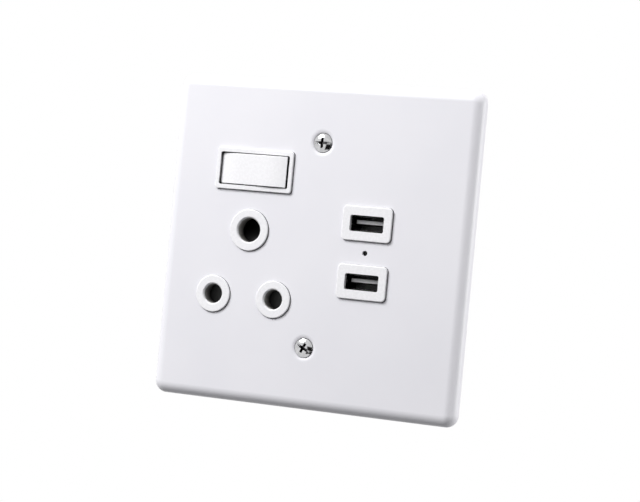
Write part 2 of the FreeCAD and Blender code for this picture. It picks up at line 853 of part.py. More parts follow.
def switch_pockets():
    """The room in the housing for the rocker well, the stem, the blade, the post and the line link."""
    half = blade_width / 2 + blade_room
    reach = blade_half + blade_end_room
    link_half = blade_width / 2 + fit_gap
    link_front, link_back = strip_y - past, strip_y + link_depth
    return [
        frame_slab(fit_gap, frame_corner, -past, well_depth + fit_gap),
        block(socket_x - reach, socket_x + reach, 0, strip_y, rocker_z - half, rocker_z + half),
        rod(socket_x, rocker_z, stem_radius + stem_room, 0, pivot_y + stem_end + stem_end_room),
        rod(socket_x, rocker_z, post_radius + fit_gap, housing_skin, post_y + post_flange),
        block(
            socket_x - pip_reach - link_tab - fit_gap, link_right + fit_gap,
            link_front, strip_y + strap_sheet,
            rocker_z - link_half, rocker_z + link_half,
        ),
        block(
            link_left - fit_gap, link_right + fit_gap, housing_skin, link_back, pole_z - link_tab,
            rocker_z + link_half,
        ),
    ]


def screw_pockets():
    """The holes and recesses in the socket housing for the front pillars and the housing screws."""
    pockets = []
    for x, z in pillar_places():
        rear = pole_rear if z < step_z else earth_rear
        pockets.append(rod(x, z, screw_pillar + fit_gap, -past, pillar_end + 2 * fit_gap))
        pockets.append(rod(x, z, screw_hole, housing_skin, rear + past))
        pockets.append(rod(x, z, screw_recess, socket_screw_seat, rear + past))
    return pockets


def socket_housing():
    """The dark rear housing, with pockets for the shutter, the sleeves and the switch."""
    cuts = shutter_pockets() + contact_pockets() + switch_pockets() + screw_pockets()
    peg = block(
        socket_x - peg_half, socket_x + peg_half, shutter_front, peg_back, peg_top - peg_height, peg_top,
    )
    return housing_block().cut(cuts).fuse(peg).removeSplitter()


def housing_screw(x, z, front, seat):
    """A pan head screw that goes in from the rear and cuts its thread in a front pillar."""
    end = seat + screw_head_height
    screw = turned(x, z, [
        (0, front), (screw_point, front), (screw_core, front + screw_point_length), (screw_core, seat),
        (screw_head, seat), (screw_head, end - screw_head_edge),
        (screw_head - screw_head_edge, end), (0, end),
    ])
    reach, half, floor = screw_cross_reach, screw_cross_half, end - screw_cross_depth
    across = block(x - reach, x + reach, floor, end + past, z - half, z + half)
    along = block(x - half, x + half, floor, end + past, z - reach, z + reach)
    return screw.cut([across, along])


def housing_screws():
    """The screws that clamp both rear housings to their front mouldings."""
    screws = [housing_screw(x, z, pillar_end - screw_bite, socket_screw_seat) for x, z in pillar_places()]
    return screws + [housing_screw(x, z, board_front - screw_bite, usb_screw_seat) for x, z in usb_pillars()]


def rocker_turn(solid):
    """A solid made about the rocker's pivot, put in place with the left end pressed in."""
    solid.rotate(Vector(0, 0, 0), Vector(0, 0, 1), -rocker_swing)
    solid.translate(Vector(socket_x, pivot_y, rocker_z))
    return solid


def rocker_cap():
    """The rocker's cap: flat in the middle, curved at both ends, with tapered end skirts."""
    half, flat, high = rocker_length / 2, rocker_flat / 2, rocker_height / 2
    slope = math.radians(rocker_end_slope)
    radius = (half - flat) / math.sin(slope)
    side = flat + radius * math.sin(slope / 2)
    face = -pivot_depth
    crown = face + radius * (1 - math.cos(slope / 2))
    edge = face + radius * (1 - math.cos(slope))
    bottom = face + rocker_skirt
    foot = half - rocker_taper
    ends = []
    for points in (
        [(flat, face), (side, crown), (half, edge)],
        [(-half, edge), (-side, crown), (-flat, face)],
    ):
        ends.append(Part.Arc(*[Vector(x, y, -high) for x, y in points]).toShape())
    outline = [(half, edge), (foot, bottom), (-foot, bottom), (-half, edge)]
    skirt = Part.makePolygon([Vector(x, y, -high) for x, y in outline])
    front = Part.makeLine(Vector(-flat, face, -high), Vector(flat, face, -high))
    rim = Part.Wire([front, ends[0]] + skirt.Edges + [ends[1]])
    cap = Part.Face(rim).extrude(Vector(0, 0, rocker_height))
    rims = [e for e in cap.Edges if e.BoundBox.ZLength < 1e-4 and e.BoundBox.YMax < edge + 1e-4]
    cap = cap.makeFillet(rocker_round, rims)
    inner = half - rocker_skin - rocker_taper
    return cap.cut(block(
        -inner, inner, edge + rocker_skin, bottom + past, rocker_skin - high, high - rocker_skin,
    ))


def rocker():
    """The white rocker: a hollow cap, lugs with two trunnions and a hollow stem."""
    inside = rocker_skin - pivot_depth
    high = rocker_height / 2
    stem = Part.makeCylinder(stem_radius, stem_end - inside, Vector(0, inside, 0), Vector(0, 1, 0))
    lugs = block(-lug_half, lug_half, inside, lug_below, -high, high)
    reach = high + trunnion_reach
    pin = Part.makeCylinder(trunnion_radius, 2 * reach, Vector(0, 0, -reach), Vector(0, 0, 1))
    foot = Vector(0, inside + stem_cap, 0)
    bore = Part.makeCylinder(stem_bore, stem_end + pivot_depth, foot, Vector(0, 1, 0))
    return rocker_turn(rocker_cap().fuse([stem, lugs, pin]).cut(bore).removeSplitter())


def rocker_plunger():
    """The plunger in the rocker's stem: a guided head, a nib and a round tip."""
    radius = stem_bore - plunger_gap
    nib = turned(0, 0, [
        (0, plunger_top), (radius, plunger_top), (radius, plunger_shoulder), (plunger_tip, plunger_neck),
        (plunger_tip, plunger_reach), (0, plunger_reach),
    ])
    tip = Part.makeSphere(plunger_tip, Vector(0, plunger_reach, 0))
    return rocker_turn(nib.fuse(tip).removeSplitter())


def rocker_spring():
    """The spring behind the plunger, inside the rocker's stem."""
    top = rocker_skin - pivot_depth + stem_cap
    length = plunger_top - top - 2 * spring_play
    spring = coil(rocker_spring_radius, rocker_spring_wire, length, rocker_spring_turns)
    spring.rotate(Vector(0, 0, 0), Vector(1, 0, 0), -90)
    spring.translate(Vector(0, top + spring_play, 0))
    return rocker_turn(spring)


def contact_blade():
    """The seesaw contact: a strip with a groove for the knife edge and a pip at its left end."""
    groove = blade_back * math.tan(math.radians(groove_angle))
    outline = [
        (-blade_half, -blade_front), (blade_half, -blade_front), (blade_half, blade_back),
        (groove, blade_back), (0, 0), (-groove, blade_back), (-blade_half, blade_back),
    ]
    low = -blade_width / 2
    strip = extruded([Vector(x, y, low) for x, y in outline], Vector(0, 0, blade_width))
    solid = strip.fuse(rod(-pip_reach, 0, pip_radius, blade_back, blade_back + pip_height)).removeSplitter()
    solid.rotate(Vector(0, 0, 0), Vector(0, 0, 1), blade_tilt)
    solid.translate(Vector(socket_x, blade_y, rocker_z))
    return solid


def usb_pillars():
    """Where the two housing screws of the USB module go in."""
    across, up = usb_body_width / 2 - usb_pillar_side, usb_body_height / 2 - usb_pillar_end
    return [(usb_x - across, usb_mid_z + up), (usb_x + across, usb_mid_z - up)]


def usb_bezel():
    """The white front moulding of the USB module, with a raised frame round each port."""
    solid = usb_slab(flange_overlap, under_y, flange_back)
    for z in usb_ports:
        frame = slab(usb_x, z, usb_frame_width, usb_frame_height, usb_frame_corner, frame_front, flange_back)
        solid = solid.fuse(round_rim(frame, frame_front, front_round))
    skirt = usb_slab(0, flange_back, 0).cut(usb_slab(-usb_skirt, flange_back - past, past))
    pillars = [rod(x, z, screw_pillar, flange_back, board_front) for x, z in usb_pillars()]
    width, height = usb_window_width, usb_window_height
    front, back = frame_front - past, flange_back + past
    cuts = [slab(usb_x, z, width, height, usb_shell_corner, front, back) for z in usb_ports]
    cuts.append(rod(usb_x, usb_mid_z, light_hole / 2, front, back))
    cuts += [rod(x, z, screw_pilot, flange_back, board_front + past) for x, z in usb_pillars()]
    return solid.fuse([skirt] + pillars).cut(cuts).removeSplitter()


def usb_shell(z):
    """The plated steel shell of one port: a rectangular tube with spring fingers and two legs."""
    width, height, wall = usb_shell_width, usb_shell_height, usb_shell_wall
    outer = slab(usb_x, z, width, height, usb_shell_corner, usb_shell_front, board_front)
    inner = slab(
        usb_x, z, width - 2 * wall, height - 2 * wall, usb_shell_corner - wall,
        usb_shell_front - past, board_front + past,
    )
    start = usb_shell_front + spring_finger_start
    end = start + spring_finger_gap + spring_finger_length
    half = spring_finger_width / 2
    windows, fingers = [], []
    for x in (usb_x - spring_finger_place, usb_x + spring_finger_place):
        gap = half + spring_finger_gap
        windows.append(block(x - gap, x + gap, start, end, z - height, z + height))
        for low in (z - height / 2, z + height / 2 - wall):
            fingers.append(block(x - half, x + half, start + spring_finger_gap, end + wall, low, low + wall))
    legs = []
    for left in (usb_x - width / 2, usb_x + width / 2 - wall):
        legs.append(block(
            left, left + wall, board_front - past, board_back + leg_tail, z - leg_half, z + leg_half,
        ))
    return outer.cut([inner] + windows).fuse(fingers + legs).removeSplitter()


def tongue_top(z):
    """The height of the tongue's upper face in the port at z."""
    return z + usb_shell_height / 2 - usb_shell_wall - tongue_top_gap


def usb_core(z):
    """The moulded core of one port: a base that fills the shell and the tongue for the contacts."""
    width = usb_shell_width - 2 * usb_shell_wall - 2 * core_gap
    height = usb_shell_height - 2 * usb_shell_wall - 2 * core_gap
    base = slab(
        usb_x, z, width, height, usb_shell_corner - usb_shell_wall, board_front - core_base, board_front,
    )
    top, half = tongue_top(z), tongue_width / 2
    start = frame_front + tongue_recess
    end = board_front - core_base + past
    tongue = block(usb_x - half, usb_x + half, start, end, top - tongue_height, top)
    tongue = round_rim(tongue, start, tongue_round)
    return base.fuse(tongue).removeSplitter()


def usb_contacts():
    """The four contact strips under each tongue."""
    half = contact_width / 2
    front, back = frame_front + tongue_recess + contact_set_back, board_front - core_base
    strips = []
    for z in usb_ports:
        under = tongue_top(z) - tongue_height
        for offset in contact_pitches:
            x = usb_x + offset
            strips.append(block(x - half, x + half, front, back, under - contact_sheet, under))
    return strips


def usb_board():
    """The circuit board behind both ports, with holes for the screws and slots for the legs."""
    width, height = usb_body_width - 2 * board_edge, usb_body_height - 2 * board_edge
    board = slab(usb_x, usb_mid_z, width, height, body_corner, board_front, board_back)
    cuts = [rod(x, z, screw_hole, board_front - past, board_back + past) for x, z in usb_pillars()]
    across = (usb_shell_width - usb_shell_wall) / 2
    up, wide = leg_half + leg_gap, usb_shell_wall / 2 + leg_gap
    for z in usb_ports:
        for x in (usb_x - across, usb_x + across):
            cuts.append(block(x - wide, x + wide, board_front - past, board_back + past, z - up, z + up))
    return board.cut(cuts)


def usb_transformer():
    """The ferrite frame of the small transformer, open along its middle."""
    half, middle = core_width / 2 - core_side_leg, usb_mid_z + core_rise
    core = slab(usb_x, middle, core_width, core_height, core_round, board_back, board_back + core_depth)
    return core.cut(block(
        usb_x - half, usb_x + half, board_back + core_leg, board_back + core_depth - core_leg,
        usb_mid_z - core_height, usb_mid_z + core_height,
    ))


def usb_winding():
    """The taped winding that fills the ferrite's opening and stands out at both ends."""
    width, height = core_width - 2 * core_side_leg, core_height + 2 * winding_reach
    front, back = board_back + core_leg, board_back + core_depth - core_leg
    return slab(usb_x, usb_mid_z + core_rise, width, height, winding_round, front, back)


def usb_capacitor(x, z, radius, length):
    """An upright electrolytic can with a rolled groove near its foot."""
    foot, top = board_back, board_back + length
    low = foot + can_groove_rise
    return turned(x, z, [
        (0, foot), (radius, foot), (radius, low), (radius - can_groove_depth, low + can_edge),
        (radius, low + 2 * can_edge), (radius, top - can_edge), (radius - can_edge, top), (0, top),
    ])


def usb_capacitors():
    """The two electrolytic capacitors above the transformer."""
    ceiling = usb_mid_z + usb_body_height / 2 - usb_ledge_wall
    x = usb_x + can_offset
    return [
        usb_capacitor(x, ceiling - large_can - large_can_drop, large_can, large_can_length),
        usb_capacitor(x + can_pitch, ceiling - small_can - small_can_drop, small_can, small_can_length),
    ]


def block_screw_places():
    """The x places of the two ways of the terminal block."""
    return (block_x - block_pitch / 2, block_x + block_pitch / 2)


def usb_terminal_block():
    """The two way mains terminal of the USB module, which shows through the rear of its housing."""
    half, high = block_width / 2, block_height / 2
    solid = block(
        block_x - half, block_x + half, board_back, usb_rear + block_proud, block_z - high, block_z + high,
    )
    seat, wire_y = board_back + block_screw_rise, board_back + block_wire_rise
    cuts = []
    for x in block_screw_places():
        cuts.append(rod(x, block_z, block_screw_radius + fit_gap, seat, usb_rear + past))
        cuts.append(upright(x, wire_y, block_wire_radius, block_z - high - past, block_z + block_wire_past))
    return solid.cut(cuts)


def usb_terminal_screws():
    """The two clamp screws in the terminal block."""
    front = board_back + block_screw_rise
    end = front + block_screw_length
    reach, half = block_screw_radius + past, block_slot_half
    screws = []
    for x in block_screw_places():
        screw = rod(x, block_z, block_screw_radius, front, end)
        screws.append(screw.cut(block(
            x - reach, x + reach, end - block_slot_depth, end + past, block_z - half, block_z + half,
        )))
    return screws


def usb_lamp():
    """The small indicator lamp on the board."""
    shoulder = board_front - lamp_height
    body = rod(usb_x, usb_mid_z, lamp_radius, shoulder, board_front)
    dome = Part.makeSphere(lamp_radius, Vector(usb_x, shoulder, usb_mid_z))
    foot = rod(usb_x, usb_mid_z, lamp_radius + lamp_foot_reach, board_front - lamp_foot_height, board_front)
    return body.fuse([dome, foot]).removeSplitter()


def usb_light_guide():
    """The clear rod that takes the lamp's light to the hole in the cover."""
    radius = light_hole / 2 - light_guide_gap
    start = face_y + light_guide_set_back
    end = board_front - lamp_height - lamp_radius - slide_gap
    shaft = rod(usb_x, usb_mid_z, radius, start, end)
    collar = rod(usb_x, usb_mid_z, radius + light_guide_step, flange_back, flange_back + light_collar)
    return shaft.fuse(collar).removeSplitter()


def usb_housing():
    """The rear box of the USB module, with a ledge for the board, vents and a terminal opening."""
    outer = round_rim(usb_slab(shell_overlap, 0, usb_rear), usb_rear, housing_round)
    wide = usb_slab(-usb_room_wall, -past, board_back)
    narrow = usb_slab(-usb_ledge_wall, board_back - past, usb_rear - usb_back_wall)
    half, high = block_width / 2 + block_room, block_height / 2 + block_room
    inside, behind = usb_rear - usb_back_wall - past, usb_rear + past
    cuts = [block(block_x - half, block_x + half, inside, behind, block_z - high, block_z + high)]
    low = usb_mid_z - usb_body_height / 2 - shell_overlap - past
    for x in block_screw_places():
        cuts.append(upright(x, board_back + block_wire_rise, block_wire_radius + block_room, low, block_z))
    bosses = []
    for x, z in usb_pillars():
        bosses.append(rod(x, z, usb_boss, board_back, usb_rear - usb_boss_set_back).common(outer))
        cuts.append(rod(x, z, screw_hole, 0, usb_rear + past))
        cuts.append(rod(x, z, screw_recess, usb_screw_seat, usb_rear + past))
    for i in range(vent_count):
        x = usb_x + (i - (vent_count - 1) / 2) * vent_pitch
        left, right = x - vent_width / 2, x + vent_width / 2
        middle, half = usb_mid_z + core_rise, vent_length / 2
        cuts.append(block(left, right, inside, behind, middle - half, middle + half))
    return outer.cut([wide, narrow]).fuse(bosses).cut(cuts).removeSplitter()


def save(name, made):
    """Writes one named piece, or a group of like pieces, to its own file."""
    pieces = made if isinstance(made, list) else [made]
    shape = Part.makeCompound(made) if isinstance(made, list) else made
    assert all(solid.isValid() for solid in shape.Solids), name
    assert len(shape.Solids) == len(pieces), f"{name} came out as {len(shape.Solids)} solids"
    shape.exportStep(os.path.join("parts", name + ".step"))


def main():
    """Builds every piece and writes it to its file."""
    os.makedirs("parts", exist_ok=True)
    pieces = [
        cover_plate, cover_screws, yoke, socket_front, pin_guide, shutter, shutter_spring, line_contact,
        neutral_contact, earth_contact, sleeve_rings, line_link, fixed_contact, line_terminal,
        terminal_screws, earth_strap, pillar_washers, socket_housing, housing_screws, rocker,
        rocker_plunger, rocker_spring, contact_blade, usb_bezel, usb_contacts, usb_board, usb_transformer,
        usb_winding, usb_capacitors, usb_terminal_block, usb_terminal_screws, usb_lamp, usb_light_guide,
        usb_housing,
    ]
    for piece in pieces:
        save(piece.__name__, piece())
    for name, z in (("upper", usb_upper_z), ("lower", usb_lower_z)):
        save("usb_shell_" + name, usb_shell(z))
        save("usb_core_" + name, usb_core(z))


main()
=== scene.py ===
import json
import math

import bmesh
import bpy
from mathutils import Matrix, Vector

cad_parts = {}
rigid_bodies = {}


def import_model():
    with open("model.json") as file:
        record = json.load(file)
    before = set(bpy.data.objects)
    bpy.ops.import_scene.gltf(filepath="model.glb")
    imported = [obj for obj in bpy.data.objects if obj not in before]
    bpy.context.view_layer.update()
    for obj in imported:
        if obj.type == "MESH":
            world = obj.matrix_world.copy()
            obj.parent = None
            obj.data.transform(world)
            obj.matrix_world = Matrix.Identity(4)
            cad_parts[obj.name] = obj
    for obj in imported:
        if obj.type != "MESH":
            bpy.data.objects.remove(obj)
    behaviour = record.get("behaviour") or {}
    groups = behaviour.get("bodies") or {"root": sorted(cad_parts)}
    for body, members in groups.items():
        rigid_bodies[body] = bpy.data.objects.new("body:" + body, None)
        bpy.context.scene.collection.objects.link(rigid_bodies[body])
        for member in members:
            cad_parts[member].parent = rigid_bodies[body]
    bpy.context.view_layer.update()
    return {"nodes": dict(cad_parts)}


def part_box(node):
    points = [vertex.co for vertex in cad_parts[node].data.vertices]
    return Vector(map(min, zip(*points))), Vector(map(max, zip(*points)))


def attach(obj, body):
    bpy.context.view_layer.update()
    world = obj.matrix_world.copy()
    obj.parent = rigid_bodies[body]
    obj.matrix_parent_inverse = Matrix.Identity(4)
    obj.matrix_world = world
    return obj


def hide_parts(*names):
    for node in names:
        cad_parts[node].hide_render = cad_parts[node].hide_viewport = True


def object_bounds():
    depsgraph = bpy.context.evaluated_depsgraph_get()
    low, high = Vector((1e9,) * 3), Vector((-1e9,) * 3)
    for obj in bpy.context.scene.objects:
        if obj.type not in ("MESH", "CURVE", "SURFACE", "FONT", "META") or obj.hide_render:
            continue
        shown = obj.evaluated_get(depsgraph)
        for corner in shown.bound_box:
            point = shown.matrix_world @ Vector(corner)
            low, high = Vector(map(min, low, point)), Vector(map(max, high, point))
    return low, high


# The look of the wall socket: finishes for its CAD pieces, screws with recesses and threads, and a
# plain pale studio. Lengths are in metres, in the part's own frame: the wall face is y = 0, the front
# looks towards -y, +z is up, +x is right from the front.
mm = 0.001

# Camera: how far it stands turned and rolled, its distance from the plate's face, and where the
# face's centre lies beside and above the picture's centre
view_turn = math.radians(22.45)
view_roll = math.radians(5.40)
view_distance = 767.3 * mm
view_aside = -2.6 * mm
view_above = 2.1 * mm
view_lens = 113.85
view_sensor = 36.0

# Studio
floor_drop = 650 * mm
floor_half = 4.0
floor_pool = 0.5
floor_glow = 0.45
floor_pale = (0.96, 0.96, 0.965, 1)
floor_dim = (0.20, 0.20, 0.205, 1)
key_place = Vector((-0.50, -0.62, 0.62))
key_size = 0.45
key_power = 11.6
rim_place = Vector((0.95, 0.28, 0.10))
rim_size = 0.5
rim_power = 5.0
dome_towards = Vector((0.15, 0.45, 0.85)).normalized()
dome_low = 0.10
dome_high = 0.92
dome_span = (-0.7, 0.9)
card_place = Vector((0.33, -0.90, -0.28))
card_half = 0.42
card_black = (0.01, 0.01, 0.01, 1)
white = (1, 1, 1, 1)

# Cover screws: a countersunk head with a low dome, a slot and a cross, and a rolled thread
cover_slot_width = 1.0 * mm
cover_slot_depth = 0.845 * mm
cover_cross_reach = 2.1 * mm
cover_cross_depth = 2.2 * mm
cover_shank = 1.75 * mm
cover_dome = 0.9 * mm
cover_rim = 0.25 * mm
cover_thread_depth = 0.3 * mm
cover_thread_pitch = 0.6 * mm
cover_point = 0.6 * mm
cover_point_step = 0.5 * mm
dome_steps = 8
dome_spread = 0.45
lower_screw_turn = math.radians(-27)

# Shares by which a cross narrows to its floor and widens to its mouth, and by which it and a slot
# reach past the head
cross_floor = 0.42
cross_thin = 0.75
cross_mouth = 1.1
cross_past = 0.2
slot_past = 1.2

# Screws that go in from the rear: the heads' height, the core, and the depth and pitch of the thread
small_head = 1.8 * mm
small_core = 0.95 * mm
small_thread_depth = 0.1 * mm
small_cross = (1.45 * mm, 0.32 * mm, 1.2 * mm)
small_tip = 0.4 * mm
terminal_head = 2.0 * mm
terminal_core = 1.7 * mm
terminal_thread_depth = 0.26 * mm
terminal_slot = (4 * mm, 0.4 * mm, 1.0 * mm)
rear_thread_pitch = 0.7 * mm
thread_runout = 0.4 * mm
tip_rise = 0.3 * mm
tip_blunt = 0.2 * mm
head_round = 0.45
head_steps = 5

# A thread's profile: how far its foot sinks into the core, and half its width at foot and crest, both
# as shares of the pitch, and the share of a turn in which it fades out
thread_sink = 0.98
thread_foot = 0.42
thread_crest = 0.06
thread_fade = 3

# Soft edges of the housing screws, and the angle from which an edge stays sharp in the shading
edge_bevel = 0.05 * mm
edge_angle = math.radians(38)
smooth_angle = math.radians(35)

# Finishes: rays for soft edges and for the painted shade in hollows, how far an edge's normal turns
# before it counts as worn, the patches of wear, the weight of the wide relief, the span of the cloudy
# values that the gloss follows and how much larger than the grain its patches are
edge_rays = 6
air_rays = 8
edge_flat = 0.98
edge_turned = 0.80
wear_patch = 1.5 * mm
peel_weight = 2.5
gloss_span = (0.3, 0.7)
gloss_patch = 4

# Copper runs of the board
run_width = 0.45 * mm
run_softness = 0.2
run_length = 7.3 * mm
run_spacing = 2.4 * mm
run_green = (0.045, 0.23, 0.07, 1)
no_run = (0, 0, 0, 1)


def add(tree, kind, inputs=None, **settings):
    """Adds a shader node; each input is a plain value or another node's socket."""
    made = tree.nodes.new(kind)
    for key, value in settings.items():
        setattr(made, key, value)
    for key, value in (inputs or {}).items():
        if isinstance(value, bpy.types.NodeSocket):
            tree.links.new(value, made.inputs[key])
        else:
            made.inputs[key].default_value = value
    return made


def noise(tree, place, size, detail=3.0):
    """Cloudy values between 0 and 1 whose blotches are about as large as size."""
    made = add(tree, "ShaderNodeTexNoise", {"Vector": place, "Scale": 1 / size, "Detail": detail})
    return made.outputs["Fac"]


def ramp(tree, value, low, high, spread=(0.35, 0.65)):
    """A colour between two tones, as a value goes through the spread."""
    made = add(tree, "ShaderNodeValToRGB", {"Fac": value})
    first, last = made.color_ramp.elements
    first.position, last.position = spread
    first.color, last.color = (*low, 1), (*high, 1)
    return made.outputs["Color"]


def remap(tree, value, from_low, from_high, to_low, to_high):
    """A value moved from one span to another and held inside it."""
    made = add(tree, "ShaderNodeMapRange", {
        "Value": value, "From Min": from_low, "From Max": from_high, "To Min": to_low, "To Max": to_high,
    })
    return made.outputs["Result"]


def blended(tree, share, first, second):
    """The first colour, turning into the second as the share goes from 0 to 1."""
    made = add(tree, "ShaderNodeMix", {0: share, 6: first, 7: second}, data_type="RGBA")
    return made.outputs[2]


def worn_edges(tree, radius):
    """The normal of softly rounded edges, and a mask that is 1 on them and 0 on the flat."""
    rounded = add(tree, "ShaderNodeBevel", {"Radius": radius}, samples=edge_rays).outputs["Normal"]
    true = add(tree, "ShaderNodeNewGeometry").outputs["Normal"]
    turned = add(tree, "ShaderNodeVectorMath", {0: rounded, 1: true}, operation="DOT_PRODUCT")
    return rounded, remap(tree, turned.outputs["Value"], edge_flat, edge_turned, 0.0, 1.0)


def finish(
    name, tones, gloss, grain, relief, patch=15 * mm, stretch=(1, 1, 1), edge=None, rim=0.15 * mm,
    peel=None, hollow_shade=None, reach=1.2 * mm, shade=(0.25, 0.75), depth_shade=None, **constants,
):
    """A material: colour that drifts between two tones, uneven gloss, grain, edges that wear, and painted
    shade in hollows and deeper along y.
    """
    material = bpy.data.materials.new("finish_" + name)
    material.use_nodes = True
    tree = material.node_tree
    shader = tree.nodes["Principled BSDF"]
    place = add(tree, "ShaderNodeTexCoord").outputs["Object"]
    drawn = add(tree, "ShaderNodeMapping", {"Vector": place, "Scale": stretch}).outputs["Vector"]
    rounded, edges = worn_edges(tree, rim)
    fine = noise(tree, drawn, grain, 4.0)
    colour = ramp(tree, noise(tree, place, patch), *tones)
    if edge:
        patchy = noise(tree, place, wear_patch)
        share = add(tree, "ShaderNodeMath", {0: edges, 1: patchy}, operation="MULTIPLY").outputs[0]
        colour = blended(tree, share, colour, (*edge, 1))
    # Painted shade: the colour turns towards a dark tone in hollows, gaps, recesses and beside raised rims,
    # where ambient occlusion finds little open air
    if hollow_shade:
        open_air = add(tree, "ShaderNodeAmbientOcclusion", {"Distance": reach}, samples=air_rays)
        share = remap(tree, open_air.outputs["AO"], *shade, 1.0, 0.0)
        colour = blended(tree, share, colour, (*hollow_shade, 1))
    # Painted shade: the colour darkens with depth along y, down into holes
    if depth_shade:
        depth = add(tree, "ShaderNodeSeparateXYZ", {"Vector": place}).outputs["Y"]
        colour = blended(tree, remap(tree, depth, *depth_shade), colour, (*hollow_shade, 1))
    height = fine
    if peel:
        wide = noise(tree, place, peel, 1.0)
        height = add(tree, "ShaderNodeMath", {
            0: wide, 1: peel_weight, 2: fine,
        }, operation="MULTIPLY_ADD").outputs[0]
    bump = add(tree, "ShaderNodeBump", {"Height": height, "Distance": relief, "Normal": rounded})
    tree.links.new(colour, shader.inputs["Base Color"])
    cloudy = noise(tree, drawn, gloss_patch * grain)
    tree.links.new(remap(tree, cloudy, *gloss_span, *gloss), shader.inputs["Roughness"])
    tree.links.new(bump.outputs["Normal"], shader.inputs["Normal"])
    for key, value in constants.items():
        shader.inputs[key.replace("_", " ").title().replace("Ior", "IOR")].default_value = value
    return material


def board_finish():
    """Green solder mask over glass cloth, with copper runs that show through it."""
    material = finish(
        "circuit_board", ((0.010, 0.10, 0.035), (0.016, 0.13, 0.050)), (0.25, 0.38), 0.35 * mm, 0.010 * mm,
        edge=(0.42, 0.38, 0.20), coat_weight=0.4, coat_roughness=0.15,
    )
    tree = material.node_tree
    shader = tree.nodes["Principled BSDF"]
    place = add(tree, "ShaderNodeTexCoord").outputs["Object"]
    flat = add(tree, "ShaderNodeMapping", {"Vector": place, "Rotation": (math.radians(90), 0, 0)})
    runs = add(tree, "ShaderNodeTexBrick", {
        "Vector": flat.outputs["Vector"], "Scale": 1.0, "Mortar Size": run_width,
        "Mortar Smooth": run_softness, "Brick Width": run_length, "Row Height": run_spacing,
        "Color1": no_run, "Color2": no_run, "Mortar": white,
    })
    green = shader.inputs["Base Color"].links[0].from_socket
    seen = blended(tree, runs.outputs["Fac"], green, run_green)
    tree.links.new(seen, shader.inputs["Base Color"])
    return material


